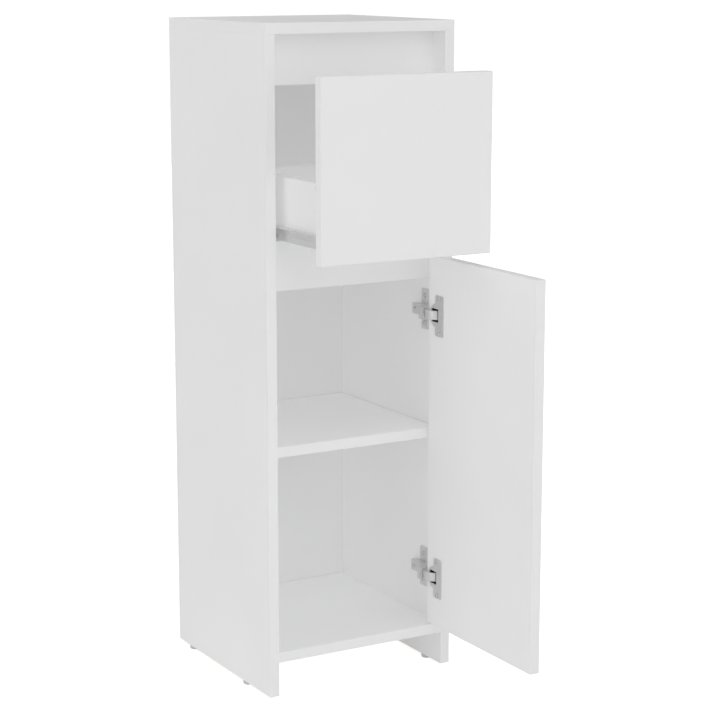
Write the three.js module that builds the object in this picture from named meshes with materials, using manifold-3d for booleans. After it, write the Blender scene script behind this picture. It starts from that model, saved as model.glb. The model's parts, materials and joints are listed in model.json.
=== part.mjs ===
// Slim white bathroom cabinet: open-fronted drawer bay above, one inset door below.
// Millimetres, +Z up, +X right, +Y to the back. The drawer stands pulled out and the door stands open.
import * as THREE from 'three';
import Module from 'manifold-3d';
import { mergeVertices } from 'three/addons/utils/BufferGeometryUtils.js';

const wasm = await Module();
wasm.setup();

// Cabinet box
const cabinetWidth = 300;
const cabinetDepth = 300;
const cabinetHeight = 950;
const boardThickness = 15;
const glideHeight = 6;
const glideRadius = 7.4;
const bottomPanelLift = 55;
const shelfBottom = 349;
const shelfSetback = 17;
const railHeight = 70;
const railSetback = 30;
const middleRailBottom = 582;

// Back board in its grooves
const backThickness = 3;
const backInset = 5;
const grooveDepth = 5;
const grooveClearance = 0.2;

// Drawer
const frontGap = 2;
const drawerFrontBottom = 637;
const drawerFrontHeight = 248;
const drawerBoxBottom = 657.5;
const drawerSideHeight = 86.5;
const drawerSideThickness = 12;
const drawerBoxDepth = 240;
const drawerSideGap = 12.5;
const drawerBaseLift = 8.7;
const drawerBaseThickness = 3;
const drawerPulledOut = 123;

// Roller slides
const sheet = 1.2;
const runnerBottom = 655.9;
const runnerTop = 673.4;
const drawerRunnerTop = 676.6;
const drawerRunnerLip = 2.4;
const frontRollerRadius = 7;
const rearRollerRadius = 6.8;
const axleRadius = 1.9;
const rollerBoreRadius = 2.15;

// Door and its pole: the upright line that the door turns about
const doorBottomGap = 1.5;
const doorHeight = 547;
const poleX = 127.8;
const poleY = -145.8;
const doorOpenAngle = Math.PI / 2;

// Hinges
const hingeHeights = { lower: 145, upper: 534 };
const cupEdgeDistance = 21.5;
const cupRadius = 17.3;
const cupInnerRadius = 16.4;
const cupDepth = 12;
const flangeThickness = 1.2;
const flangeHalfHeight = 29.75;
const flangeHalfWidth = 10.75;
const flangeCornerRadius = 3;
const rimRadius = 17.7;
const cupSlotNear = 9.2;
const cupSlotFar = 26.1;
const cupSlotHalfHeight = 9.6;
const cupScrewLine = 27.5;
const cupScrewHalfSpacing = 26;
const plateLineY = -103;
const plateHalfHeight = 30;
const plateHalfWidth = 9;
const plateCornerRadius = 2.5;
const plateScrewHalfSpacing = 20;
const armInnerHalfWidth = 6.9;
const armOuterHalfWidth = 8.1;

const halfWidth = cabinetWidth / 2;
const halfDepth = cabinetDepth / 2;
const innerHalf = halfWidth - boardThickness;
const frontY = -halfDepth;
const topUnderside = cabinetHeight - boardThickness;
const bottomTop = bottomPanelLift + boardThickness;
const backFrontY = halfDepth - backInset - backThickness;
const doorEdgeX = innerHalf - frontGap;
const doorInnerY = frontY + boardThickness;
const doorBottom = bottomTop + doorBottomGap;

// The frame's origin is the middle of the footprint, with the door open.
const doorTipY = poleY - (poleX + doorEdgeX);
const originY = (doorTipY + halfDepth) / 2;

const board = { color: 0xf1f1ef, roughness: 0.45, metalness: 0 };
const thinBoard = { color: 0xe9e9e6, roughness: 0.6, metalness: 0 };
const galvanised = { color: 0xc3c6c8, roughness: 0.42, metalness: 0.9 };
const nickel = { color: 0xc9c8c4, roughness: 0.28, metalness: 1 };
const zincScrew = { color: 0xb9bcc0, roughness: 0.35, metalness: 1 };
const nylon = { color: 0xf3f3f0, roughness: 0.5, metalness: 0 };
const glidePlastic = { color: 0xdadad8, roughness: 0.5, metalness: 0 };

const cabinet = new THREE.Group();
cabinet.position.y = -originY;

// The drawer's pieces are drawn shut, and their group stands pulled out.
const drawer = new THREE.Group();
drawer.position.y = -drawerPulledOut;
cabinet.add(drawer);

// A group whose pieces are drawn for the shut door and turned about the door's pole.
function poleGroup(angle) {
  const turned = new THREE.Group();
  turned.position.set(poleX, poleY, 0);
  turned.rotation.z = angle;
  const shut = new THREE.Group();
  shut.position.set(-poleX, -poleY, 0);
  turned.add(shut);
  cabinet.add(turned);
  return shut;
}

const door = poleGroup(doorOpenAngle);

function add(parent, name, geometry, look) {
  const mesh = new THREE.Mesh(geometry, new THREE.MeshStandardMaterial(look));
  mesh.name = name;
  parent.add(mesh);
  return mesh;
}

function toManifold(geometry) {
  const bare = geometry.clone();
  bare.deleteAttribute('normal');
  bare.deleteAttribute('uv');
  const welded = mergeVertices(bare, 1e-4);
  return new wasm.Manifold(new wasm.Mesh({
    numProp: 3,
    vertProperties: new Float32Array(welded.attributes.position.array),
    triVerts: new Uint32Array(welded.index.array),
  }));
}

function toGeometry(manifold) {
  const mesh = manifold.getMesh();
  const geometry = new THREE.BufferGeometry();
  geometry.setAttribute('position', new THREE.BufferAttribute(new Float32Array(mesh.vertProperties), 3));
  geometry.setIndex(new THREE.BufferAttribute(new Uint32Array(mesh.triVerts), 1));
  const flat = geometry.toNonIndexed();
  flat.computeVertexNormals();
  return flat;
}

function join(geometries) {
  let whole = toManifold(geometries[0]);
  for (const geometry of geometries.slice(1)) {
    whole = whole.add(toManifold(geometry));
  }
  return toGeometry(whole);
}

function cut(geometry, tools) {
  let whole = toManifold(geometry);
  for (const tool of tools) {
    whole = whole.subtract(toManifold(tool));
  }
  return toGeometry(whole);
}

function block(x0, x1, y0, y1, z0, z1) {
  const lowX = Math.min(x0, x1);
  const highX = Math.max(x0, x1);
  const geometry = new THREE.BoxGeometry(highX - lowX, y1 - y0, z1 - z0);
  geometry.translate((lowX + highX) / 2, (y0 + y1) / 2, (z0 + z1) / 2);
  return geometry;
}

// A round bar along X, Y or Z from one end point.
function bar(radius, axis, x, y, z, length, segments = 32) {
  const geometry = new THREE.CylinderGeometry(radius, radius, Math.abs(length), segments);
  if (axis === 'x') {
    geometry.rotateZ(Math.PI / 2);
    geometry.translate(x + length / 2, y, z);
  } else if (axis === 'y') {
    geometry.translate(x, y + length / 2, z);
  } else {
    geometry.rotateX(Math.PI / 2);
    geometry.translate(x, y, z + length / 2);
  }
  return geometry;
}

// A flat plate with rounded corners, facing along X or Y.
function roundedPlate(axis, from, thickness, middle, halfAcross, z, halfHeight, radius) {
  const across = halfAcross - radius;
  const height = halfHeight - radius;
  const slab = (reach, rise) => (axis === 'x'
    ? block(from, from + thickness, middle - reach, middle + reach, z - rise, z + rise)
    : block(middle - reach, middle + reach, from, from + thickness, z - rise, z + rise));
  const pieces = [slab(halfAcross, height), slab(across, halfHeight)];
  for (const side of [middle - across, middle + across]) {
    for (const end of [z - height, z + height]) {
      pieces.push(axis === 'x'
        ? bar(radius, 'x', from, side, end, thickness, 24)
        : bar(radius, 'y', side, from, end, thickness, 24));
    }
  }
  return join(pieces);
}

// A flat outline in X and Y, raised from z0 to z1.
function prism(points, z0, z1) {
  const shape = new THREE.Shape(points.map(([x, y]) => new THREE.Vector2(x, y)));
  const geometry = new THREE.ExtrudeGeometry(shape, { depth: z1 - z0, bevelEnabled: false });
  geometry.translate(0, 0, z0);
  return geometry;
}

// A bent sheet section in X and Z, drawn from y0 to y1.
function section(points, y0, y1) {
  const shape = new THREE.Shape(points.map(([x, z]) => new THREE.Vector2(x, z)));
  const geometry = new THREE.ExtrudeGeometry(shape, { depth: y1 - y0, bevelEnabled: false });
  geometry.rotateX(Math.PI / 2);
  geometry.translate(0, y1, 0);
  return geometry;
}

// Pan-head screw with a cross recess: head up along +Z, underside of the head at z = 0.
function screw(headRadius, headHeight, shankRadius, shankLength) {
  const profile = [
    new THREE.Vector2(0, -shankLength),
    new THREE.Vector2(shankRadius * 0.5, -shankLength),
    new THREE.Vector2(shankRadius, -shankLength + shankRadius),
    new THREE.Vector2(shankRadius, 0),
    new THREE.Vector2(headRadius, 0),
    new THREE.Vector2(headRadius, headHeight * 0.45),
    new THREE.Vector2(headRadius * 0.8, headHeight * 0.85),
    new THREE.Vector2(headRadius * 0.45, headHeight),
    new THREE.Vector2(0, headHeight),
  ];
  const body = new THREE.LatheGeometry(profile, 24);
  body.rotateX(Math.PI / 2);
  const reach = headRadius * 0.55;
  const slotHalf = headRadius * 0.13;
  const slotFloor = headHeight * 0.35;
  const slotX = block(-reach, reach, -slotHalf, slotHalf, slotFloor, headHeight + 1);
  const slotY = block(-slotHalf, slotHalf, -reach, reach, slotFloor, headHeight + 1);
  return cut(body, [slotX, slotY]);
}

const shelfPinRadius = 2.5;
const shelfPinZ = shelfBottom - shelfPinRadius;
const shelfPinRows = { front: -95, back: 100 };

// Side panels: grooved for the back board, bored for the shelf pins and the hinge plates.
for (const [side, sign] of [['left', -1], ['right', 1]]) {
  const blank = block(sign * innerHalf, sign * halfWidth, -halfDepth, halfDepth, glideHeight, topUnderside);
  const cuts = [
    block(
      sign * (innerHalf - 1),
      sign * (innerHalf + grooveDepth + 0.5),
      backFrontY - grooveClearance,
      backFrontY + backThickness + grooveClearance,
      bottomPanelLift - 0.5,
      topUnderside + 1,
    ),
  ];
  for (const y of Object.values(shelfPinRows)) {
    cuts.push(bar(shelfPinRadius + 0.25, 'x', sign * (innerHalf - 1), y, shelfPinZ, sign * 10.5));
  }
  if (side === 'right') {
    for (const z of Object.values(hingeHeights)) {
      for (const dz of [-plateScrewHalfSpacing, plateScrewHalfSpacing]) {
        cuts.push(bar(2.05, 'x', innerHalf - 1, plateLineY, z + dz, 11.5, 24));
      }
    }
  }
  add(cabinet, `${side}_side_panel`, cut(blank, cuts), board);
}

const topBlank = block(-halfWidth, halfWidth, -halfDepth, halfDepth, topUnderside, cabinetHeight);
const topGroove = block(
  -innerHalf - grooveDepth - 0.5,
  innerHalf + grooveDepth + 0.5,
  backFrontY - grooveClearance,
  backFrontY + backThickness + grooveClearance,
  topUnderside - 1,
  topUnderside + grooveDepth,
);
add(cabinet, 'top_panel', cut(topBlank, [topGroove]), board);
const bottomBlank = block(-innerHalf, innerHalf, frontY, backFrontY - 0.3, bottomPanelLift, bottomTop);
add(cabinet, 'bottom_panel', bottomBlank, board);

const railFrontY = frontY + railSetback;
for (const [name, z] of [['upper_rail', topUnderside - railHeight], ['middle_rail', middleRailBottom]]) {
  const rail = block(-innerHalf, innerHalf, railFrontY, railFrontY + boardThickness, z, z + railHeight);
  add(cabinet, name, rail, board);
}

add(
  cabinet,
  'shelf',
  block(
    -innerHalf + 0.5,
    innerHalf - 0.5,
    frontY + shelfSetback,
    backFrontY - 0.5,
    shelfBottom,
    shelfBottom + boardThickness,
  ),
  board,
);

add(
  cabinet,
  'back_panel',
  block(
    -innerHalf - grooveDepth,
    innerHalf + grooveDepth,
    backFrontY,
    backFrontY + backThickness,
    bottomPanelLift,
    topUnderside + grooveDepth - 0.5,
  ),
  thinBoard,
);

for (const [side, sign] of [['left', -1], ['right', 1]]) {
  for (const [row, y] of Object.entries(shelfPinRows)) {
    add(
      cabinet,
      `shelf_pin_${row}_${side}`,
      bar(shelfPinRadius, 'x', sign * (innerHalf + 9), y, shelfPinZ, -sign * 18),
      zincScrew,
    );
  }
}

// Glides under the side panels. The front two aren't level with each other.
const glideY = { front_left: -67, front_right: -98, back_left: 112, back_right: 112 };
for (const [place, y] of Object.entries(glideY)) {
  const profile = [
    new THREE.Vector2(0, 0),
    new THREE.Vector2(glideRadius - 1.4, 0),
    new THREE.Vector2(glideRadius - 0.4, 0.6),
    new THREE.Vector2(glideRadius, 1.8),
    new THREE.Vector2(glideRadius, 4.6),
    new THREE.Vector2(glideRadius - 0.8, glideHeight),
    new THREE.Vector2(0, glideHeight),
  ];
  const glide = new THREE.LatheGeometry(profile, 40);
  glide.rotateX(Math.PI / 2);
  const sign = place.endsWith('left') ? -1 : 1;
  glide.translate(sign * (halfWidth - boardThickness / 2), y, 0);
  add(cabinet, `glide_${place}`, glide, glidePlastic);
}

// Drawer box, drawn shut.
const drawerOuterHalf = innerHalf - drawerSideGap;
const drawerInnerHalf = drawerOuterHalf - drawerSideThickness;
const drawerTop = drawerBoxBottom + drawerSideHeight;
const drawerBackY = doorInnerY + drawerBoxDepth;
const baseBottom = drawerBoxBottom + drawerBaseLift;
const baseGroove = block(
  -drawerInnerHalf - grooveDepth,
  drawerInnerHalf + grooveDepth,
  doorInnerY - grooveDepth,
  drawerBackY - drawerSideThickness + grooveDepth,
  baseBottom - grooveClearance,
  baseBottom + drawerBaseThickness + grooveClearance,
);

const drawerFront = block(
  -doorEdgeX,
  doorEdgeX,
  frontY,
  doorInnerY,
  drawerFrontBottom,
  drawerFrontBottom + drawerFrontHeight,
);
add(drawer, 'drawer_front', cut(drawerFront, [baseGroove]), board);

for (const [side, sign] of [['left', -1], ['right', 1]]) {
  const blank = block(
    sign * drawerInnerHalf,
    sign * drawerOuterHalf,
    doorInnerY,
    drawerBackY,
    drawerBoxBottom,
    drawerTop,
  );
  add(drawer, `drawer_side_${side}`, cut(blank, [baseGroove]), board);
}

const drawerBack = block(
  -drawerInnerHalf,
  drawerInnerHalf,
  drawerBackY - drawerSideThickness,
  drawerBackY,
  drawerBoxBottom,
  drawerTop,
);
add(drawer, 'drawer_back', cut(drawerBack, [baseGroove]), board);

const drawerBase = block(
  -drawerInnerHalf - grooveDepth + 0.3,
  drawerInnerHalf + grooveDepth - 0.3,
  doorInnerY - grooveDepth + 0.3,
  drawerBackY - drawerSideThickness + grooveDepth - 0.3,
  baseBottom,
  baseBottom + drawerBaseThickness,
);
add(drawer, 'drawer_base', drawerBase, thinBoard);

// Roller slides: a fixed runner with a front roller, and a drawer runner with a rear roller.
const fixedRunnerFrontY = frontY + 31;
const fixedRunnerLength = 250;
const frontRollerY = frontY + 42;
const frontRollerZ = drawerRunnerTop - sheet - 0.2 - frontRollerRadius;
const rearRollerY = drawerBackY - 7;
const rearRollerZ = runnerBottom + sheet + 0.2 + rearRollerRadius;
const lipX = innerHalf - 9.2;
const topFlangeX = innerHalf - 6.5;
const webX = innerHalf - sheet;
const drawerWebX = drawerOuterHalf + sheet;
const drawerFlangeX = drawerOuterHalf + 9.1;

for (const [side, sign] of [['left', -1], ['right', 1]]) {
  const fixedOutline = [
    [innerHalf, runnerBottom],
    [innerHalf, runnerTop],
    [topFlangeX, runnerTop],
    [topFlangeX, runnerTop - sheet],
    [webX, runnerTop - sheet],
    [webX, runnerBottom + sheet],
    [lipX + sheet, runnerBottom + sheet],
    [lipX + sheet, runnerBottom + 4],
    [lipX, runnerBottom + 4],
    [lipX, runnerBottom],
  ].map(([x, z]) => [sign * x, z]);
  const channel = section(fixedOutline, fixedRunnerFrontY, fixedRunnerFrontY + fixedRunnerLength);
  const rollerGap = block(
    sign * (lipX - 1),
    sign * webX,
    fixedRunnerFrontY - 1,
    frontRollerY + frontRollerRadius + 3,
    runnerTop - sheet - 0.1,
    runnerTop + 1,
  );
  const frontAxle = join([
    bar(axleRadius, 'x', sign * (innerHalf - 0.6), frontRollerY, frontRollerZ, -sign * 9.8, 24),
    bar(2.9, 'x', sign * (innerHalf - 0.6), frontRollerY, frontRollerZ, -sign * 4.3, 24),
    bar(3.1, 'x', sign * (innerHalf - 10.1), frontRollerY, frontRollerZ, -sign * 0.6, 24),
  ]);
  const fixedRunner = join([cut(channel, [rollerGap]), frontAxle]);
  add(cabinet, `slide_runner_fixed_${side}`, fixedRunner, galvanised);

  const frontRoller = cut(
    bar(frontRollerRadius, 'x', sign * (innerHalf - 5.2), frontRollerY, frontRollerZ, -sign * 4.6, 40),
    [bar(rollerBoreRadius, 'x', sign * (innerHalf - 4.2), frontRollerY, frontRollerZ, -sign * 7, 24)],
  );
  add(cabinet, `slide_roller_front_${side}`, frontRoller, nylon);

  const drawerOutline = [
    [drawerInnerHalf - 1, drawerBoxBottom - sheet - 0.1],
    [drawerWebX, drawerBoxBottom - sheet - 0.1],
    [drawerWebX, drawerRunnerTop - sheet],
    [drawerFlangeX - sheet, drawerRunnerTop - sheet],
    [drawerFlangeX - sheet, drawerRunnerTop - drawerRunnerLip],
    [drawerFlangeX, drawerRunnerTop - drawerRunnerLip],
    [drawerFlangeX, drawerRunnerTop],
    [drawerOuterHalf, drawerRunnerTop],
    [drawerOuterHalf, drawerBoxBottom - 0.1],
    [drawerInnerHalf - 1, drawerBoxBottom - 0.1],
  ].map(([x, z]) => [sign * x, z]);
  const rearAxle = join([
    bar(axleRadius, 'x', sign * (drawerOuterHalf + 0.6), rearRollerY, rearRollerZ, sign * 10.6, 24),
    bar(3.1, 'x', sign * (drawerOuterHalf + 0.6), rearRollerY, rearRollerZ, sign * 4.2, 24),
    bar(3.1, 'x', sign * (drawerOuterHalf + 10.6), rearRollerY, rearRollerZ, sign * 0.6, 24),
  ]);
  const rail = section(drawerOutline, doorInnerY + 0.5, drawerBackY + 1);
  add(drawer, `slide_runner_drawer_${side}`, join([rail, rearAxle]), galvanised);

  const rearRoller = cut(
    bar(rearRollerRadius, 'x', sign * (drawerOuterHalf + 5.2), rearRollerY, rearRollerZ, sign * 5, 40),
    [bar(rollerBoreRadius, 'x', sign * (drawerOuterHalf + 4), rearRollerY, rearRollerZ, sign * 8, 24)],
  );
  add(drawer, `slide_roller_rear_${side}`, rearRoller, nylon);
}

// Door, drawn shut.
const cupX = doorEdgeX - cupEdgeDistance;
const cupScrewX = doorEdgeX - cupScrewLine;
const doorCuts = [];
for (const z of Object.values(hingeHeights)) {
  doorCuts.push(bar(cupRadius + 0.3, 'y', cupX, doorInnerY - cupDepth - 0.3, z, cupDepth + 1.3, 64));
  for (const dz of [-cupScrewHalfSpacing, cupScrewHalfSpacing]) {
    doorCuts.push(bar(2.05, 'y', cupScrewX, doorInnerY - 11, z + dz, 12, 24));
  }
}
const doorBlank = block(-doorEdgeX, doorEdgeX, frontY, doorInnerY, doorBottom, doorBottom + doorHeight);
add(door, 'door_panel', cut(doorBlank, doorCuts), board);

// Links are arcs about the door's pole. Angles are for the shut door, and each turns by its share of the
// door's turn.
const links = {
  outer: { radius: 17, halfThickness: 1.2, from: 72, to: 174, share: 0.7, halfWidth: 6.5 },
  inner: { radius: 13.95, halfThickness: 1.1, from: 80, to: 172, share: 0.62, halfWidth: 4.6 },
};
const linkGroups = {
  outer: poleGroup(doorOpenAngle * links.outer.share),
  inner: poleGroup(doorOpenAngle * links.inner.share),
};

// Points along an arc, leaving out its two ends where asked.
function arcPoints(x, y, radius, from, to, steps, withEnds) {
  const points = [];
  for (let i = withEnds ? 0 : 1; i <= (withEnds ? steps : steps - 1); i += 1) {
    const angle = from + ((to - from) * i) / steps;
    points.push([x + radius * Math.cos(angle), y + radius * Math.sin(angle)]);
  }
  return points;
}

// A curved strap with round ends.
function linkGeometry(link, z) {
  const start = THREE.MathUtils.degToRad(link.from);
  const end = THREE.MathUtils.degToRad(link.to);
  const endX = poleX + link.radius * Math.cos(end);
  const endY = poleY + link.radius * Math.sin(end);
  const startX = poleX + link.radius * Math.cos(start);
  const startY = poleY + link.radius * Math.sin(start);
  const outline = [
    ...arcPoints(poleX, poleY, link.radius + link.halfThickness, start, end, 20, true),
    ...arcPoints(endX, endY, link.halfThickness, end, end + Math.PI, 8, false),
    ...arcPoints(poleX, poleY, link.radius - link.halfThickness, end, start, 20, true),
    ...arcPoints(startX, startY, link.halfThickness, start + Math.PI, start + 2 * Math.PI, 8, false),
  ];
  return prism(outline, z - link.halfWidth, z + link.halfWidth);
}

const armWebX = 123.5;
const armLipX = 113.2;
const armScrewYs = { rear: -92, front: -107 };
const armOutline = [
  [132.6, -84],
  [armWebX, -84],
  [armWebX, -112],
  [107.3, -128.2],
  [107.3, -134.2],
  [118.5, -134.2],
  [121.5, -132.2],
  [127, -131.6],
  [132.6, -130.5],
];
const armHollow = [
  [140, -85.2],
  [armWebX + sheet, -85.2],
  [armWebX + sheet, -112.5],
  [108.5, -128.7],
  [108.5, -133],
  [armLipX, -133],
  [armLipX, -140],
  [140, -140],
];

for (const [place, z] of Object.entries(hingeHeights)) {
  // Cup: a bowl let into the door, with a long flange over its rim and a slot that the links pass through.
  const flangeX = cupX - rimRadius + flangeHalfWidth;
  const bowl = join([
    bar(cupRadius, 'y', cupX, doorInnerY - cupDepth, z, cupDepth + 0.6, 64),
    bar(rimRadius, 'y', cupX, doorInnerY, z, flangeThickness, 64),
    roundedPlate(
      'y',
      doorInnerY,
      flangeThickness,
      flangeX,
      flangeHalfWidth,
      z,
      flangeHalfHeight,
      flangeCornerRadius,
    ),
  ]);
  const cupSlot = block(
    doorEdgeX - cupSlotFar,
    doorEdgeX - cupSlotNear,
    doorInnerY - 3,
    doorInnerY + 3,
    z - cupSlotHalfHeight,
    z + cupSlotHalfHeight,
  );
  const cupCuts = [
    bar(cupInnerRadius, 'y', cupX, doorInnerY - cupDepth + 0.8, z, cupDepth - 0.8, 64),
    cupSlot,
  ];
  for (const dz of [-cupScrewHalfSpacing, cupScrewHalfSpacing]) {
    cupCuts.push(bar(2.1, 'y', cupScrewX, doorInnerY - 1, z + dz, 4, 24));
  }
  add(door, `hinge_cup_${place}`, cut(bowl, cupCuts), nickel);

  for (const [end, dz] of [['low', -cupScrewHalfSpacing], ['high', cupScrewHalfSpacing]]) {
    const cupScrew = screw(3.4, 1.7, 1.75, 11);
    cupScrew.rotateX(-Math.PI / 2);
    cupScrew.translate(cupScrewX, doorInnerY + flangeThickness, z + dz);
    add(door, `hinge_cup_screw_${place}_${end}`, cupScrew, zincScrew);
  }

  for (const [kind, link] of Object.entries(links)) {
    add(linkGroups[kind], `hinge_link_${kind}_${place}`, linkGeometry(link, z), nickel);
  }

  // Arm: a cranked channel, open towards the side panel, with a short lip folded across its nose.
  const armCuts = [prism(armHollow, z - armInnerHalfWidth, z + armInnerHalfWidth)];
  for (const y of Object.values(armScrewYs)) {
    armCuts.push(bar(2.1, 'x', armWebX - 1, y, z, 4, 24));
  }
  const arm = cut(prism(armOutline, z - armOuterHalfWidth, z + armOuterHalfWidth), armCuts);
  add(cabinet, `hinge_arm_${place}`, arm, nickel);

  // Mounting plate: two wings on the side panel and a raised block under the arm.
  const plate = join([
    roundedPlate(
      'x',
      innerHalf - 2,
      2,
      plateLineY,
      plateHalfWidth,
      z,
      plateHalfHeight,
      plateCornerRadius,
    ),
    block(innerHalf - 2, innerHalf, -119, -86.5, z - 6.4, z + 6.4),
    block(126.5, innerHalf - 1, -117, -86.5, z - 6.4, z + 6.4),
  ]);
  const plateCuts = [-plateScrewHalfSpacing, plateScrewHalfSpacing].map(
    (dz) => bar(2.1, 'x', innerHalf - 3, plateLineY, z + dz, 4, 24),
  );
  for (const y of Object.values(armScrewYs)) {
    plateCuts.push(bar(2.1, 'x', 125.5, y, z, 5.5, 24));
  }
  add(cabinet, `hinge_plate_${place}`, cut(plate, plateCuts), nickel);

  for (const [end, dz] of [['low', -plateScrewHalfSpacing], ['high', plateScrewHalfSpacing]]) {
    const plateScrew = screw(3.4, 1.7, 1.75, 11);
    plateScrew.rotateY(-Math.PI / 2);
    plateScrew.translate(innerHalf - 2, plateLineY, z + dz);
    add(cabinet, `hinge_plate_screw_${place}_${end}`, plateScrew, zincScrew);
  }

  for (const [end, y] of Object.entries(armScrewYs)) {
    const armScrew = screw(3.3, 1.6, 1.75, 6.4);
    armScrew.rotateY(-Math.PI / 2);
    armScrew.translate(armWebX, y, z);
    add(cabinet, `hinge_arm_screw_${place}_${end}`, armScrew, zincScrew);
  }
}

export default cabinet;
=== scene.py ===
import json
from math import pi, radians

import bpy
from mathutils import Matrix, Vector


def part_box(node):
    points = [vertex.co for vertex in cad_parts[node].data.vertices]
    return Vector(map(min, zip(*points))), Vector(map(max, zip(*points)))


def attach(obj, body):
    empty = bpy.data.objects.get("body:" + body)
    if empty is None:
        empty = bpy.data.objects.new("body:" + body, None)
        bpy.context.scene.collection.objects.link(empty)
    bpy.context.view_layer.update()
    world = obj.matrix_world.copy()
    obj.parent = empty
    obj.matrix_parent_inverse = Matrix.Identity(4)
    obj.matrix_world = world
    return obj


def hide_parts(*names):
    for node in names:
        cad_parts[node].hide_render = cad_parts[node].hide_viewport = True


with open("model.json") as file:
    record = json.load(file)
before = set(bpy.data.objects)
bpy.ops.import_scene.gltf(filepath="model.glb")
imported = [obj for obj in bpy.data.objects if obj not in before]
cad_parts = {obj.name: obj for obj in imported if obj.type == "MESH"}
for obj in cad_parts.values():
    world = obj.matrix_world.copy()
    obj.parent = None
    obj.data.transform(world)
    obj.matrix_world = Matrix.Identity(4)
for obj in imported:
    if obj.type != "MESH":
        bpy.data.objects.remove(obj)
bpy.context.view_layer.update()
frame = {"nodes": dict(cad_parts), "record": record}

mm = 0.001
sameSpot = 0.004 * mm  # vertices this close are one
skinDepth = 0.2 * mm  # how far a bare core or raw face reaches in
print("frame loaded:", len(frame["nodes"]), "nodes")


def deselectAll():
    bpy.ops.object.select_all(action="DESELECT")


def selectOnly(piece):
    deselectAll()
    piece.select_set(True)
    bpy.context.view_layer.objects.active = piece


def pickParts(piece, kind, wanted):
    # kind is "FACE" or "EDGE"; wanted is asked about each one's middle and direction
    selectOnly(piece)
    bpy.ops.object.mode_set(mode="EDIT")
    bpy.ops.mesh.select_mode(type=kind)
    bpy.ops.mesh.select_all(action="DESELECT")
    bpy.ops.object.mode_set(mode="OBJECT")
    mesh = piece.data
    if kind == "FACE":
        for face in mesh.polygons:
            face.select = wanted(face.center, face.normal)
    else:
        for edge in mesh.edges:
            start, end = (mesh.vertices[i].co for i in edge.vertices)
            edge.select = wanted((start + end) / 2, (end - start).normalized())
    bpy.ops.object.mode_set(mode="EDIT")


def leaveEdit():
    bpy.ops.object.mode_set(mode="OBJECT")


def applyModifier(piece, kind, **values):
    selectOnly(piece)
    modifier = piece.modifiers.new(kind.title(), kind)
    for key, value in values.items():
        setattr(modifier, key, value)
    bpy.ops.object.modifier_apply(modifier=modifier.name)


def startPiece(name):
    # the piece just added or copied is the active one
    piece = bpy.context.object
    piece.name = name
    piece.data.name = name
    return piece


def addBlock(name, low, high):
    deselectAll()
    middle = [(a + b) / 2 for a, b in zip(low, high)]
    size = [b - a for a, b in zip(low, high)]
    bpy.ops.mesh.primitive_cube_add(size=1, location=middle, scale=size)
    piece = startPiece(name)
    settle(piece)
    return piece


def addDisc(name, radius, depth, place, sides=32):
    # a round blank whose upper face points along +Z
    deselectAll()
    bpy.ops.mesh.primitive_cylinder_add(vertices=sides, radius=radius, depth=depth, location=place)
    piece = startPiece(name)
    settle(piece)
    return piece


def cutAway(piece, tool):
    applyModifier(piece, "BOOLEAN", operation="DIFFERENCE", solver="EXACT", object=tool)
    bpy.data.objects.remove(tool)


def placeCopy(source, name, turn, place):
    # turn is the way that the source's +Z is to point
    selectOnly(source)
    bpy.ops.object.duplicate()
    piece = startPiece(name)
    piece.rotation_euler = Vector(turn).to_track_quat("Z", "Y").to_euler()
    piece.location = place
    settle(piece)
    return piece


def settle(piece):
    # the place goes into the mesh, and the object to the origin
    selectOnly(piece)
    bpy.ops.object.transform_apply(location=True, rotation=True, scale=True)


def smoothByAngle(piece, degrees=32):
    # the broad faces keep their own direction, so only the rounded edges shade softly
    selectOnly(piece)
    bpy.ops.object.shade_smooth_by_angle(angle=radians(degrees))
    applyModifier(piece, "WEIGHTED_NORMAL", mode="FACE_AREA", weight=100, keep_sharp=True)


def bevelEdges(piece, width, segments=3, degrees=40):
    applyModifier(
        piece, "BEVEL", width=width, segments=segments, limit_method="ANGLE", angle_limit=radians(degrees),
        use_clamp_overlap=False, loop_slide=False, miter_outer="MITER_SHARP",
    )


def finishPiece(piece, body, material, replaced=()):
    piece.data.materials.clear()
    piece.data.materials.append(material)
    if replaced:
        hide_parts(*replaced)
    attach(piece, body)
    return piece


def bodyOf(node):
    for body, members in frame["record"]["behaviour"]["bodies"].items():
        if node in members:
            return body


def mergedCopy(node, name, weld):
    # a CAD node's mesh is loose triangles, so its copy is merged and its flat faces joined
    mesh = frame["nodes"][node].data.copy()
    mesh.name = name
    piece = bpy.data.objects.new(name, mesh)
    bpy.context.scene.collection.objects.link(piece)
    selectOnly(piece)
    bpy.ops.object.mode_set(mode="EDIT")
    bpy.ops.mesh.select_mode(type="VERT")
    bpy.ops.mesh.select_all(action="SELECT")
    bpy.ops.mesh.remove_doubles(threshold=weld)
    bpy.ops.mesh.dissolve_limited(angle_limit=radians(0.3))
    leaveEdit()
    return piece


def refine(node, suffix, material, bevel, segments=3, weld=sameSpot):
    piece = mergedCopy(node, f"{node}_{suffix}", weld)
    bevelEdges(piece, bevel, segments)
    smoothByAngle(piece)
    return finishPiece(piece, bodyOf(node), material, [node])


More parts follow.
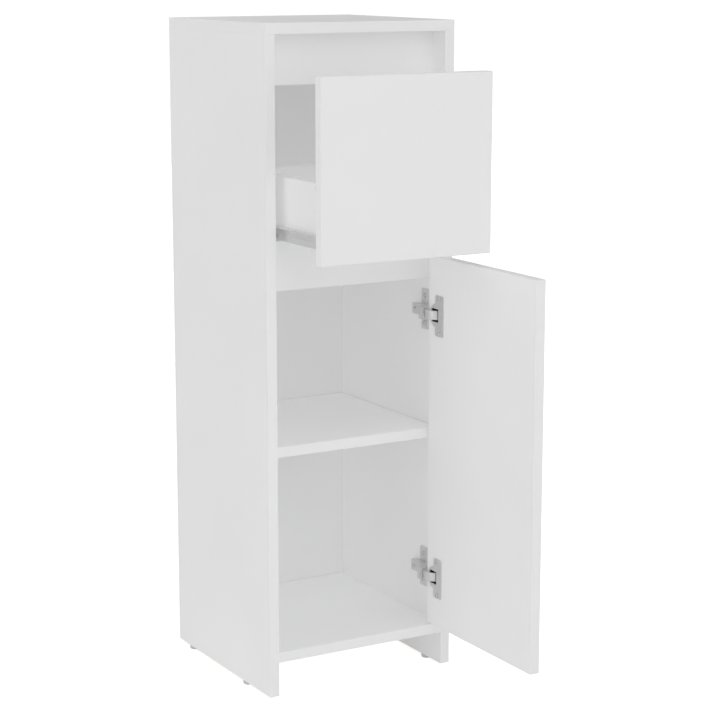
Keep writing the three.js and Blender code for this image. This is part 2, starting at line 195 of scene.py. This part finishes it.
class Tree:
    # short names for the calls that every node tree repeats
    def __init__(self, tree):
        self.tree = tree

    def add(self, kind, values=None, **settings):
        node = self.tree.nodes.new(kind)
        for key, value in settings.items():
            setattr(node, key, value)
        for key, value in (values or {}).items():
            self.feed(node.inputs[key], value)
        return node

    def feed(self, socket, value):
        if isinstance(value, bpy.types.NodeSocket):
            self.tree.links.new(value, socket)
        else:
            socket.default_value = value

    def math(self, operation, first, second=0.0, third=0.0, clamp=False):
        node = self.add("ShaderNodeMath", operation=operation, use_clamp=clamp)
        for socket, value in zip(node.inputs, (first, second, third)):
            self.feed(socket, value)
        return node.outputs[0]

    def mixColour(self, factor, first, second, blend="MIX"):
        node = self.add("ShaderNodeMix", data_type="RGBA", blend_type=blend)
        self.feed(node.inputs["Factor"], factor)
        self.feed(node.inputs[6], first)
        self.feed(node.inputs[7], second)
        return node.outputs[2]

    def noise(self, place, scale, detail=3.0, roughness=0.55):
        values = {"Vector": place, "Scale": scale, "Detail": detail, "Roughness": roughness}
        node = self.add("ShaderNodeTexNoise", values)
        return node.outputs["Fac"]

    def ramp(self, factor, stops):
        node = self.add("ShaderNodeValToRGB", {"Fac": factor})
        first, last = node.color_ramp.elements
        first.position, first.color = stops[0]
        last.position, last.color = stops[-1]
        for position, colour in stops[1:-1]:
            node.color_ramp.elements.new(position).color = colour
        return node.outputs["Color"]


def newGroup(name, inputs, outputs):
    tree = bpy.data.node_groups.new(name, "ShaderNodeTree")
    for label, kind, value in inputs:
        socket = tree.interface.new_socket(label, in_out="INPUT", socket_type=f"NodeSocket{kind}")
        if value is not None:
            socket.default_value = value
    for label, kind in outputs:
        tree.interface.new_socket(label, in_out="OUTPUT", socket_type=f"NodeSocket{kind}")
    work = Tree(tree)
    return work, tree.nodes.new("NodeGroupInput").outputs, tree.nodes.new("NodeGroupOutput").inputs


def newMaterial(name, look):
    material = bpy.data.materials.new(name)
    material.use_nodes = True
    material.diffuse_color = (*look["colour"], 1)
    work = Tree(material.node_tree)
    shader = material.node_tree.nodes["Principled BSDF"]
    shader.inputs["Metallic"].default_value = look.get("metallic", 0.0)
    shader.inputs["IOR"].default_value = look.get("ior", 1.45)
    place = work.add("ShaderNodeTexCoord").outputs["Object"]
    return material, work, shader.inputs, place


def useGroup(work, name, values):
    node = work.add("ShaderNodeGroup", node_tree=bpy.data.node_groups[name])
    for key, value in values.items():
        work.feed(node.inputs[key], value)
    return node.outputs


def makeBoardEdges():
    # where a board shows bare core, where its edge banding lies, and the glue line beside it
    work, given, out = newGroup(
        "boardEdges",
        [
            ("Place", "Vector", None), ("Low", "Vector", None), ("High", "Vector", None),
            ("Banded Low", "Vector", None), ("Banded High", "Vector", None),
            ("Bare Low", "Vector", None), ("Bare High", "Vector", None),
            ("Band", "Float", 0.8 * mm), ("Line", "Float", 0.09 * mm),
        ],
        [("Bare", "Float"), ("Banding", "Float"), ("Glue Line", "Float")],
    )
    split = {
        label: work.add("ShaderNodeSeparateXYZ", {0: given[label]}).outputs
        for label in ("Place", "Low", "High", "Banded Low", "Banded High", "Bare Low", "Bare High")
    }
    bare, banding, line = 0.0, 0.0, 0.0
    for axis in range(3):
        fromLow = work.math("SUBTRACT", split["Place"][axis], split["Low"][axis])
        fromHigh = work.math("SUBTRACT", split["High"][axis], split["Place"][axis])
        for side, depth in (("Low", fromLow), ("High", fromHigh)):
            onFace = work.math("LESS_THAN", depth, skinDepth)
            bare = work.math("MAXIMUM", bare, work.math("MULTIPLY", onFace, split[f"Bare {side}"][axis]))
            inBand = work.math("LESS_THAN", depth, given["Band"])
            banded = split[f"Banded {side}"][axis]
            banding = work.math("MAXIMUM", banding, work.math("MULTIPLY", inBand, banded))
            away = work.math("ABSOLUTE", work.math("SUBTRACT", depth, given["Band"]))
            pulse = work.math("SUBTRACT", 1.0, work.math("DIVIDE", away, given["Line"]), clamp=True)
            line = work.math("MAXIMUM", line, work.math("MULTIPLY", pulse, banded))
    work.feed(out["Bare"], bare)
    work.feed(out["Banding"], banding)
    work.feed(out["Glue Line"], line)


def makePebble():
    # the fine embossed skin of melamine, with slow changes of tone and gloss
    work, given, out = newGroup(
        "pebbleSkin",
        [("Place", "Vector", None), ("Grain", "Float", 1400.0), ("Colour", "Color", (0.8, 0.8, 0.8, 1))],
        [("Colour", "Color"), ("Gloss Change", "Float"), ("Height", "Float")],
    )
    fine = work.noise(given["Place"], given["Grain"], 2.0, 0.5)
    coarse = work.noise(given["Place"], 260.0, 2.0, 0.5)
    slow = work.noise(given["Place"], 5.0, 2.0, 0.5)
    height = work.math("ADD", work.math("MULTIPLY", fine, 0.6), work.math("MULTIPLY", coarse, 0.4))
    tone = work.ramp(slow, [(0.3, (0.975, 0.975, 0.975, 1)), (0.7, (1, 1, 1, 1))])
    work.feed(out["Colour"], work.mixColour(1.0, given["Colour"], tone, "MULTIPLY"))
    speck = work.math("MULTIPLY", work.math("SUBTRACT", fine, 0.5), 0.10)
    work.feed(out["Gloss Change"], work.math("ADD", speck, work.math("MULTIPLY", slow, 0.06)))
    work.feed(out["Height"], height)


def makeChipboard():
    # pressed wood flakes seen on a sawn edge
    work, given, out = newGroup(
        "chipboardCore",
        [("Place", "Vector", None), ("Flake", "Float", 620.0)],
        [("Colour", "Color"), ("Height", "Float")],
    )
    bent = work.add(
        "ShaderNodeVectorMath",
        {0: work.add("ShaderNodeTexNoise", {"Vector": given["Place"], "Scale": 300.0}).outputs["Color"]},
        operation="SCALE",
    )
    bent.inputs["Scale"].default_value = 1.6 * mm
    moved = work.add("ShaderNodeVectorMath", {0: given["Place"], 1: bent.outputs[0]}, operation="ADD")
    place = moved.outputs[0]
    flakes = work.add("ShaderNodeTexVoronoi", {"Vector": place, "Scale": given["Flake"]})
    tone = work.add("ShaderNodeSeparateColor", {0: flakes.outputs["Color"]}).outputs[0]
    dust = work.noise(place, 2400.0, 2.0)
    mixed = work.math("ADD", work.math("MULTIPLY", tone, 0.75), work.math("MULTIPLY", dust, 0.3))
    colour = work.ramp(mixed, [
        (0.05, (0.16, 0.09, 0.045, 1)), (0.35, (0.36, 0.23, 0.125, 1)),
        (0.7, (0.52, 0.37, 0.22, 1)), (0.98, (0.66, 0.52, 0.35, 1)),
    ])
    work.feed(out["Colour"], colour)
    work.feed(out["Height"], work.math("SUBTRACT", mixed, flakes.outputs["Distance"]))


def makeHardboard():
    # the raw brown back of thin hardboard, with its pressed screen mesh
    work, given, out = newGroup(
        "hardboardBack",
        [("Place", "Vector", None), ("Mesh", "Float", 1.1 * mm)],
        [("Colour", "Color"), ("Height", "Float")],
    )
    fibres = work.noise(given["Place"], 900.0, 4.0, 0.7)
    clouds = work.noise(given["Place"], 26.0, 3.0)
    blend = work.math("ADD", work.math("MULTIPLY", fibres, 0.6), work.math("MULTIPLY", clouds, 0.4))
    colour = work.ramp(blend, [(0.3, (0.26, 0.175, 0.11, 1)), (0.7, (0.42, 0.315, 0.22, 1))])
    axes = work.add("ShaderNodeSeparateXYZ", {0: given["Place"]}).outputs
    waves = [
        work.math("SINE", work.math("DIVIDE", work.math("MULTIPLY", axes[i], 2 * pi), given["Mesh"]))
        for i in (0, 2)
    ]
    weave = work.math("MULTIPLY", waves[0], waves[1])
    work.feed(out["Colour"], colour)
    work.feed(out["Height"], work.math("ADD", work.math("MULTIPLY", weave, 0.3), fibres))


def makeStamping():
    # rolling lines, small scuffs and handling marks on pressed and plated steel
    work, given, out = newGroup(
        "stampedSteel",
        [("Place", "Vector", None), ("Colour", "Color", (0.6, 0.6, 0.6, 1)), ("Spangle", "Float", 0.0)],
        [("Colour", "Color"), ("Gloss Change", "Float"), ("Height", "Float")],
    )
    stretched = work.add("ShaderNodeMapping", {"Vector": given["Place"], "Scale": (900.0, 60.0, 1400.0)})
    lines = work.noise(stretched.outputs[0], 1.0, 3.0, 0.6)
    scuffs = work.noise(given["Place"], 160.0, 4.0, 0.7)
    crystals = work.add("ShaderNodeTexVoronoi", {"Vector": given["Place"], "Scale": 330.0})
    facet = work.add("ShaderNodeSeparateColor", {0: crystals.outputs["Color"]}).outputs[0]
    flake = work.math("MULTIPLY", work.math("SUBTRACT", facet, 0.5), given["Spangle"])
    shade = work.math("ADD", 0.9, work.math("MULTIPLY", scuffs, 0.16))
    shade = work.math("ADD", shade, work.math("MULTIPLY", flake, 0.35))
    grey = work.add("ShaderNodeCombineColor", {0: shade, 1: shade, 2: shade}).outputs[0]
    work.feed(out["Colour"], work.mixColour(1.0, given["Colour"], grey, "MULTIPLY"))
    change = work.math("MULTIPLY", work.math("SUBTRACT", scuffs, 0.5), 0.3)
    change = work.math("ADD", change, work.math("MULTIPLY", work.math("SUBTRACT", lines, 0.5), 0.14))
    work.feed(out["Gloss Change"], work.math("ADD", change, work.math("MULTIPLY", flake, 0.5)))
    work.feed(out["Height"], work.math("ADD", lines, work.math("MULTIPLY", scuffs, 0.6)))


makeBoardEdges()
makePebble()
makeChipboard()
makeHardboard()
makeStamping()
print("shared effects made")


boardLook = {
    "colour": (0.86, 0.861, 0.861), "roughness": 0.40, "bandRoughness": 0.32,
    "glueColour": (0.42, 0.41, 0.39), "glueStrength": 0.55, "coreRoughness": 0.45,
    "grainDepth": 0.018 * mm, "lineDepth": 0.06 * mm, "flakeDepth": 0.25 * mm,
}
backLook = {
    "colour": (0.85, 0.851, 0.852), "roughness": 0.5, "rawRoughness": 0.3, "grain": 700.0,
    "grainDepth": 0.03 * mm, "fibreDepth": 0.08 * mm,
}
steelLooks = {
    "galvanised": {"colour": (0.75, 0.752, 0.753), "metallic": 0.9, "roughness": 0.45, "spangle": 0.3},
    "nickelPlate": {"colour": (0.70, 0.70, 0.698), "metallic": 1.0, "roughness": 0.42, "spangle": 0.0},
    "zincPlate": {"colour": (0.645, 0.65, 0.66), "metallic": 1.0, "roughness": 0.32, "spangle": 0.12},
    "castZinc": {"colour": (0.60, 0.60, 0.60), "metallic": 0.9, "roughness": 0.48, "spangle": 0.1},
}
steelGrain = 0.012 * mm
# painted shade inside the hinge cups: where it starts below the flange, how far it fades in, its dark
# colour, and the extra roughness
cupPaintedShade = {"start": 1.3 * mm, "fade": 1.5 * mm, "colour": (0.09, 0.09, 0.092), "dullness": 0.3}
plasticLooks = {
    "nylonRoller": {"colour": (0.83, 0.83, 0.80), "roughness": 0.42, "grain": 1100.0, "subsurface": 0.12},
    "glidePlastic": {"colour": (0.62, 0.62, 0.615), "roughness": 0.45, "grain": 800.0, "subsurface": 0.0},
}
plasticGrain = 0.03 * mm


def bumpFrom(work, height, distance, strength=1.0, normal=None):
    values = {"Height": height, "Distance": distance, "Strength": strength}
    if normal is not None:
        values["Normal"] = normal
    return work.add("ShaderNodeBump", values).outputs[0]


def roughnessOf(work, base, change):
    return work.math("ADD", base, change, clamp=True)


def boardMaterial(node, banded, bare):
    # banded and bare name sides such as "-y" for the board's front edge
    look = boardLook
    low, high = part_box(node)
    flags = {}
    for label, sides in (("Banded", banded), ("Bare", bare)):
        for end, sign in (("Low", "-"), ("High", "+")):
            flags[f"{label} {end}"] = [1.0 if sign + axis in sides else 0.0 for axis in "xyz"]
    material, work, shader, place = newMaterial(f"{node}Melamine", look)
    edges = useGroup(work, "boardEdges", {"Place": place, "Low": low, "High": high, **flags})
    skin = useGroup(work, "pebbleSkin", {"Place": place, "Colour": (*look["colour"], 1)})
    core = useGroup(work, "chipboardCore", {"Place": place})
    seam = work.math("MULTIPLY", edges["Glue Line"], look["glueStrength"])
    colour = work.mixColour(seam, skin["Colour"], (*look["glueColour"], 1))
    work.feed(shader["Base Color"], work.mixColour(edges["Bare"], colour, core["Colour"]))
    drop = look["bandRoughness"] - look["roughness"]
    change = work.math("ADD", skin["Gloss Change"], work.math("MULTIPLY", edges["Banding"], drop))
    change = work.math("ADD", change, work.math("MULTIPLY", edges["Bare"], look["coreRoughness"]))
    work.feed(shader["Roughness"], roughnessOf(work, look["roughness"], change))
    normal = bumpFrom(work, skin["Height"], look["grainDepth"])
    normal = bumpFrom(work, work.math("MULTIPLY", edges["Glue Line"], -1.0), look["lineDepth"], 1.0, normal)
    flaked = work.math("MULTIPLY", core["Height"], edges["Bare"])
    work.feed(shader["Normal"], bumpFrom(work, flaked, look["flakeDepth"], 1.0, normal))
    return material


def hardboardMaterial(node, rawSide):
    # lacquered white, with raw brown on the one face that rawSide names
    look = backLook
    low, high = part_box(node)
    raw = [1.0 if f"+{axis}" == rawSide else 0.0 for axis in "xyz"]
    rawLow = [1.0 if f"-{axis}" == rawSide else 0.0 for axis in "xyz"]
    material, work, shader, place = newMaterial(f"{node}Hardboard", look)
    edges = useGroup(work, "boardEdges", {
        "Place": place, "Low": low, "High": high, "Bare High": raw, "Bare Low": rawLow,
    })
    skin = useGroup(work, "pebbleSkin", {
        "Place": place, "Colour": (*look["colour"], 1), "Grain": look["grain"],
    })
    back = useGroup(work, "hardboardBack", {"Place": place})
    work.feed(shader["Base Color"], work.mixColour(edges["Bare"], skin["Colour"], back["Colour"]))
    rawChange = work.math("MULTIPLY", edges["Bare"], look["rawRoughness"])
    change = work.math("ADD", skin["Gloss Change"], rawChange)
    work.feed(shader["Roughness"], roughnessOf(work, look["roughness"], change))
    normal = bumpFrom(work, skin["Height"], look["grainDepth"])
    rough = work.math("MULTIPLY", back["Height"], edges["Bare"])
    work.feed(shader["Normal"], bumpFrom(work, rough, look["fibreDepth"], 1.0, normal))
    return material


def steelMaterial(name):
    look = steelLooks[name]
    material, work, shader, place = newMaterial(name, look)
    steel = useGroup(work, "stampedSteel", {
        "Place": place, "Colour": (*look["colour"], 1), "Spangle": look["spangle"],
    })
    work.feed(shader["Base Color"], steel["Colour"])
    work.feed(shader["Roughness"], roughnessOf(work, look["roughness"], steel["Gloss Change"]))
    work.feed(shader["Normal"], bumpFrom(work, steel["Height"], steelGrain))
    return material


def shadedCupMaterial():
    # plated like the rest of the hinge; down inside the bowl the colour is darkened as painted shade, and
    # the gloss is dulled
    look = steelLooks["nickelPlate"]
    material, work, shader, place = newMaterial("cupPlatePaintedShade", look)
    steel = useGroup(work, "stampedSteel", {"Place": place, "Colour": (*look["colour"], 1)})
    across = work.add("ShaderNodeSeparateXYZ", {0: place}).outputs[0]
    # painted shade: the base colour darkens with depth below the cup's flange, in place of the shadow
    # inside the bowl
    depth = work.math("SUBTRACT", across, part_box("hinge_cup_upper")[0].x + cupPaintedShade["start"])
    shadeMask = work.math("DIVIDE", depth, cupPaintedShade["fade"], clamp=True)
    paintedShadeColour = (*cupPaintedShade["colour"], 1)
    work.feed(shader["Base Color"], work.mixColour(shadeMask, steel["Colour"], paintedShadeColour))
    change = work.math("ADD", steel["Gloss Change"], work.math("MULTIPLY", shadeMask, cupPaintedShade["dullness"]))
    work.feed(shader["Roughness"], roughnessOf(work, look["roughness"], change))
    work.feed(shader["Normal"], bumpFrom(work, steel["Height"], steelGrain))
    return material


def plasticMaterial(name):
    look = plasticLooks[name]
    material, work, shader, place = newMaterial(name, look)
    skin = useGroup(work, "pebbleSkin", {
        "Place": place, "Colour": (*look["colour"], 1), "Grain": look["grain"],
    })
    work.feed(shader["Base Color"], skin["Colour"])
    work.feed(shader["Roughness"], roughnessOf(work, look["roughness"], skin["Gloss Change"]))
    work.feed(shader["Normal"], bumpFrom(work, skin["Height"], plasticGrain))
    shader["Subsurface Weight"].default_value = look["subsurface"]
    shader["Subsurface Radius"].default_value = (0.6 * mm, 0.6 * mm, 0.5 * mm)
    shader["Subsurface Scale"].default_value = 1.0
    return material


steels = {name: steelMaterial(name) for name in steelLooks}
plastics = {name: plasticMaterial(name) for name in plasticLooks}
print("materials made")


boardEdge = {"width": 0.45 * mm, "segments": 3}  # how far the boards' corners are eased
sheetEdge = {"width": 0.2 * mm, "segments": 2}
# which sides of each board are banded, and which show the bare core
boards = {
    "left_side_panel": {"banded": ["-y"], "bare": ["+y", "-z"]},
    "right_side_panel": {"banded": ["-y"], "bare": ["+y", "-z"]},
    "top_panel": {"banded": ["-y", "-x", "+x"], "bare": ["+y"]},
    "bottom_panel": {"banded": ["-y"], "bare": ["+y"]},
    "upper_rail": {"banded": ["-z"], "bare": []},
    "middle_rail": {"banded": ["-z", "+z"], "bare": []},
    "shelf": {"banded": ["-y"], "bare": ["+y", "-x", "+x"]},
    "drawer_front": {"banded": ["-x", "+x", "-z", "+z"], "bare": []},
    "drawer_side_left": {"banded": ["+z"], "bare": ["+y", "-z"]},
    "drawer_side_right": {"banded": ["+z"], "bare": ["+y", "-z"]},
    "drawer_back": {"banded": ["+z"], "bare": ["-z"]},
    "door_panel": {"banded": ["-y", "+y", "-z", "+z"], "bare": []},
}
for node, sides in boards.items():
    refine(node, "board", boardMaterial(node, **sides), boardEdge["width"], boardEdge["segments"])
for node, rawSide in (("back_panel", "+y"), ("drawer_base", None)):
    refine(node, "sheet", hardboardMaterial(node, rawSide), sheetEdge["width"], sheetEdge["segments"])
print("boards done")


# the start of the nodes' names, their finish, the width of the softened edges and its steps
fittings = [
    ("slide_runner", "galvanised", 0.25 * mm, 2), ("slide_roller", "nylonRoller", 0.5 * mm, 3),
    ("shelf_pin", "zincPlate", 0.5 * mm, 3), ("glide", "glidePlastic", 0.3 * mm, 2),
    ("hinge_cup_screw", "zincPlate", 0.1 * mm, 2), ("hinge_plate_screw", "zincPlate", 0.1 * mm, 2),
    # the cups take the plated finish with painted shade down inside the bowl
    ("hinge_arm_screw", "zincPlate", 0.1 * mm, 2), ("hinge_cup", "cupPlatePaintedShade", 0.14 * mm, 2),
    ("hinge_arm", "nickelPlate", 0.35 * mm, 3), ("hinge_plate", "nickelPlate", 0.35 * mm, 3),
    ("hinge_link", "nickelPlate", 0.3 * mm, 3),
]
finishes = {**steels, **plastics, "cupPlatePaintedShade": shadedCupMaterial()}
welds = {"hinge_cup": 0.1 * mm}  # where the round rim runs into the straight flange
taken = set(boards) | {"back_panel", "drawer_base"}
for start, finish, width, segments in fittings:
    for node in sorted(frame["nodes"]):
        if node.startswith(start) and node not in taken:
            taken.add(node)
            refine(node, "part", finishes[finish], width, segments, weld=welds.get(start, sameSpot))


# a long bead pressed into each drawer runner's upright web
bead = {
    "sheet": 1.2 * mm, "low": 4.6 * mm, "high": 10.4 * mm,
    "raise": 0.45 * mm, "frontGap": 9 * mm, "backGap": 18 * mm, "slope": 0.9 * mm,
}


def pressBead(side, sign):
    rail = bpy.data.objects[f"slide_runner_drawer_{side}_part"]
    low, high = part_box(f"slide_runner_drawer_{side}")
    boxLow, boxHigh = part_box(f"drawer_side_{side}")
    webX = sign * (max(abs(boxLow.x), abs(boxHigh.x)) + bead["sheet"])
    levels = [low.z + bead["low"], low.z + bead["high"]]
    ends = [low.y + bead["frontGap"], boxHigh.y - bead["backGap"]]

    def onWeb(middle, normal):
        return normal.x * sign > 0.99 and abs(middle.x - webX) < 0.15 * mm

    def onBead(middle, normal):
        within = levels[0] < middle.z < levels[1] and ends[0] < middle.y < ends[1]
        return onWeb(middle, normal) and within

    cuts = [((0, 0, z), (0, 0, 1)) for z in levels] + [((0, y, 0), (0, 1, 0)) for y in ends]
    for point, direction in cuts:
        pickParts(rail, "FACE", onWeb)
        bpy.ops.mesh.bisect(plane_co=point, plane_no=direction)
        leaveEdit()
    pickParts(rail, "FACE", onBead)
    bpy.ops.mesh.inset(thickness=bead["slope"])
    bpy.ops.transform.translate(value=(sign * bead["raise"], 0, 0))
    leaveEdit()
    smoothByAngle(rail)


# rollers are dished between hub and rim
dish = {"rim": 0.9 * mm, "depth": 0.45 * mm}


def dishRoller(roller):
    for sign in (-1, 1):
        pickParts(roller, "FACE", lambda middle, normal: normal.x * sign > 0.99)
        bpy.ops.mesh.inset(thickness=dish["rim"])
        bpy.ops.transform.translate(value=(-sign * dish["depth"], 0, 0))
        leaveEdit()
    smoothByAngle(roller)


sides = (("left", -1), ("right", 1))
for side, sign in sides:
    pressBead(side, sign)
for end in ("front", "rear"):
    for side, sign in sides:
        dishRoller(bpy.data.objects[f"slide_roller_{end}_{side}_part"])
print("fittings done:", len(taken), "nodes of", len(frame["nodes"]))


def facesUp(middle, normal):
    return normal.z > 0.9


# the screws in the runners; crown, shoulder, slot and softening are shares of radius or height
panScrew = {
    "radius": 2.7 * mm, "height": 0.62 * mm, "shoulder": 0.3, "shoulderRise": 0.3, "crown": 0.22,
    "crownRise": 0.1, "slotReach": 0.56, "slotWidth": 0.14, "slotFloor": 0.35, "softening": 0.04,
}


def makePanScrew(name):
    radius, height = panScrew["radius"], panScrew["height"]
    head = addDisc(name, radius, height, (0, 0, height / 2))
    pickParts(head, "FACE", facesUp)
    for part in ("shoulder", "crown"):
        bpy.ops.mesh.inset(thickness=radius * panScrew[part])
        bpy.ops.transform.translate(value=(0, 0, height * panScrew[f"{part}Rise"]))
    leaveEdit()
    reach, slot = radius * panScrew["slotReach"], radius * panScrew["slotWidth"]
    bottom = height * panScrew["slotFloor"]
    for across, along in ((reach, slot), (slot, reach)):
        cutAway(head, addBlock("recessTool", (-across, -along, bottom), (across, along, height * 2)))
    bevelEdges(head, radius * panScrew["softening"], 2, 50)
    smoothByAngle(head)
    return head


# rivets on the cheeks of each hinge arm: each ring steps in and up by these shares
rivetHead = {"radius": 1.9 * mm, "height": 0.4 * mm, "ringStep": 0.22, "ringRises": (0.34, 0.24, 0.14)}


def makeRivet(name):
    radius, height = rivetHead["radius"], rivetHead["height"]
    head = addDisc(name, radius, height, (0, 0, height / 2), 24)
    pickParts(head, "FACE", facesUp)
    for rise in rivetHead["ringRises"]:
        bpy.ops.mesh.inset(thickness=radius * rivetHead["ringStep"])
        bpy.ops.transform.translate(value=(0, 0, height * rise))
    leaveEdit()
    smoothByAngle(head, 60)
    return head


# fixed runners: distances from the runner's two ends; drawer runners: shares of the drawer side's length
runnerScrews = {"front": 26 * mm, "back": 19 * mm}
railScrews = {"shares": {"front": 0.52, "back": 0.86}, "up": 5.6 * mm}
fixedLow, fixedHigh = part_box("slide_runner_fixed_right")
railLow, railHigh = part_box("slide_runner_drawer_right")
sideLow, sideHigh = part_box("drawer_side_right")
screwPattern = makePanScrew("screwPattern")
for side, sign in sides:
    spots = {"front": fixedLow.y + runnerScrews["front"], "back": fixedHigh.y - runnerScrews["back"]}
    for end, y in spots.items():
        place = (sign * (fixedHigh.x - bead["sheet"]), y, (fixedLow.z + fixedHigh.z) / 2)
        screw = placeCopy(screwPattern, f"runner_screw_{side}_{end}", (-sign, 0, 0), place)
        finishPiece(screw, "carcass", steels["zincPlate"])
    for end, share in railScrews["shares"].items():
        y = sideLow.y + (sideHigh.y - sideLow.y) * share
        place = (sign * (sideHigh.x + bead["sheet"]), y, railLow.z + railScrews["up"])
        screw = placeCopy(screwPattern, f"drawer_runner_screw_{side}_{end}", (sign, 0, 0), place)
        finishPiece(screw, "drawer", steels["zincPlate"])
bpy.data.objects.remove(screwPattern)


# the bolt that draws the drawer front up, let into a bore near the top of each drawer side
frontBolt = {
    "back": 17.0 * mm, "down": 7.2 * mm, "bore": 3.5 * mm, "sunk": 1.4 * mm, "head": 3.1 * mm,
    "thickness": 0.8 * mm, "set": 0.95 * mm, "rim": 0.5 * mm, "hollow": 0.25 * mm,
    "slotReach": 2.2 * mm, "slotWidth": 0.45 * mm, "slotFloor": -0.1 * mm,
}


def fitBolt(side, sign):
    board = bpy.data.objects[f"drawer_side_{side}_board"]
    outerX = sign * sideHigh.x
    boltY, boltZ = sideLow.y + frontBolt["back"], sideHigh.z - frontBolt["down"]
    bore = addDisc("boreTool", frontBolt["bore"], frontBolt["sunk"] * 2, (0, 0, 0), 40)
    bore.rotation_euler = (0, pi / 2, 0)
    bore.location = (outerX, boltY, boltZ)
    settle(bore)
    cutAway(board, bore)
    smoothByAngle(board)
    bolt = addDisc(f"drawer_bolt_{side}", frontBolt["head"], frontBolt["thickness"], (0, 0, 0), 32)
    pickParts(bolt, "FACE", facesUp)
    bpy.ops.mesh.inset(thickness=frontBolt["rim"])
    bpy.ops.transform.translate(value=(0, 0, -frontBolt["hollow"]))
    leaveEdit()
    reach, slot = frontBolt["slotReach"], frontBolt["slotWidth"]
    cutAway(bolt, addBlock("slotTool", (-reach, -slot, frontBolt["slotFloor"]), (reach, slot, 1 * mm)))
    bolt.rotation_euler = Vector((sign, 0, 0)).to_track_quat("Z", "Y").to_euler()
    bolt.location = (outerX - sign * frontBolt["set"], boltY, boltZ)
    settle(bolt)
    smoothByAngle(bolt)
    finishPiece(bolt, "drawer", steels["castZinc"])


for side, sign in sides:
    fitBolt(side, sign)
print("slide screws and drawer bolts done")


# how far each rivet lies from the arm's nose and from its front end
armRivets = {"forward": (4.2 * mm, 4.4 * mm), "rear": (12.2 * mm, 9.0 * mm)}
rivetPattern = makeRivet("rivetPattern")
for place in ("upper", "lower"):
    armLow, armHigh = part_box(f"hinge_arm_{place}")
    for spot, (fromNose, fromFront) in armRivets.items():
        for end, z, up in (("low", armLow.z, -1), ("high", armHigh.z, 1)):
            rivet = placeCopy(
                rivetPattern, f"hinge_rivet_{place}_{spot}_{end}", (0, 0, up),
                (armLow.x + fromNose, armLow.y + fromFront, z),
            )
            finishPiece(rivet, "carcass", steels["nickelPlate"])
bpy.data.objects.remove(rivetPattern)
print("hinge rivets done")


studio = {
    "floor": (0.9, 0.9, 0.9), "floorGlow": 0.62, "floorSize": 14.0,
    "world": 0.34, "backdrop": 1.05, "fillAngle": 50,
}
lampAim = (0.0, 0.1, 0.45)
lamps = {  # soft boxes round the cabinet
    "leftKey": {"place": (-3.4, 0.3, 1.5), "size": 2.6, "power": 9.0},
    "frontLeft": {"place": (-2.0, -3.4, 1.7), "size": 3.0, "power": 4.0},
    "frontRight": {"place": (1.8, -3.2, 1.3), "size": 2.6, "power": 7.0},
    "highFront": {"place": (-0.5, -2.4, 2.9), "size": 2.2, "power": 13.0},
}
fills = {  # even light without shadows, which reaches into the compartments
    "fillFront": {"towards": (0.0, 1.0, -0.21), "power": 0.62},
    "fillLeft": {"towards": (1.0, 0.0, -0.21), "power": 0.68},
    "fillTop": {"towards": (0.0, 0.0, -1.0), "power": 0.62},
    "fillBack": {"towards": (0.0, -1.0, -0.21), "power": 0.50},
    "fillRight": {"towards": (-1.0, 0.0, -0.21), "power": 0.42},
}
cameraSet = {"place": (-1.425, -2.4697, 1.039), "turn": 30.15, "tilt": 11.18, "lens": 102.5, "sensor": 36}

bpy.ops.mesh.primitive_plane_add(size=studio["floorSize"], location=(0, 0, 0))
floor = bpy.context.object
floor.name = "studioFloor"
floorMaterial, floorWork, floorShader, floorPlace = newMaterial("floorPaper", {"colour": studio["floor"]})
paper = floorWork.noise(floorPlace, 40.0, 3.0)
worn = [part * 0.985 for part in studio["floor"]]
tint = floorWork.ramp(paper, [(0.0, (*worn, 1)), (1.0, (*studio["floor"], 1))])
floorWork.feed(floorShader["Base Color"], tint)
floorShader["Roughness"].default_value = 0.9
floorShader["Emission Color"].default_value = (1, 1, 1, 1)
floorSeen = floorWork.add("ShaderNodeLightPath").outputs["Is Camera Ray"]
floorWork.feed(floorShader["Emission Strength"], floorWork.math("MULTIPLY", floorSeen, studio["floorGlow"]))
floor.data.materials.append(floorMaterial)

world = bpy.data.worlds.new("studioWorld")
bpy.context.scene.world = world
world.use_nodes = True
worldTree = Tree(world.node_tree)
background = world.node_tree.nodes["Background"]
background.inputs["Color"].default_value = (1, 1, 1, 1)
seen = worldTree.add("ShaderNodeLightPath").outputs["Is Camera Ray"]
extra = worldTree.math("MULTIPLY", seen, studio["backdrop"] - studio["world"])
lit = worldTree.math("ADD", studio["world"], extra)
worldTree.feed(background.inputs["Strength"], lit)


def hangLamp(name, kind, place, direction, power):
    light = bpy.data.lights.new(name, kind)
    light.energy = power
    holder = bpy.data.objects.new(name, light)
    bpy.context.scene.collection.objects.link(holder)
    holder.location = place
    holder.rotation_euler = Vector(direction).to_track_quat("-Z", "Y").to_euler()
    return light


for name, lamp in lamps.items():
    direction = Vector(lampAim) - Vector(lamp["place"])
    softBox = hangLamp(name, "AREA", lamp["place"], direction, lamp["power"])
    softBox.shape = "DISK"
    softBox.size = lamp["size"]
for name, fill in fills.items():
    evenLight = hangLamp(name, "SUN", (0, 0, 3), fill["towards"], fill["power"])
    evenLight.angle = radians(studio["fillAngle"])
    evenLight.use_shadow = False

bpy.context.scene.view_settings.view_transform = "Standard"
lens = bpy.data.cameras.new("studioCamera")
lens.lens = cameraSet["lens"]
lens.sensor_width = cameraSet["sensor"]
lens.clip_start = 0.05
lens.clip_end = 100
camera = bpy.data.objects.new("studioCamera", lens)
bpy.context.scene.collection.objects.link(camera)
camera.location = cameraSet["place"]
camera.rotation_euler = (radians(90 - cameraSet["tilt"]), 0, radians(-cameraSet["turn"]))
bpy.context.scene.camera = camera
print("studio ready")
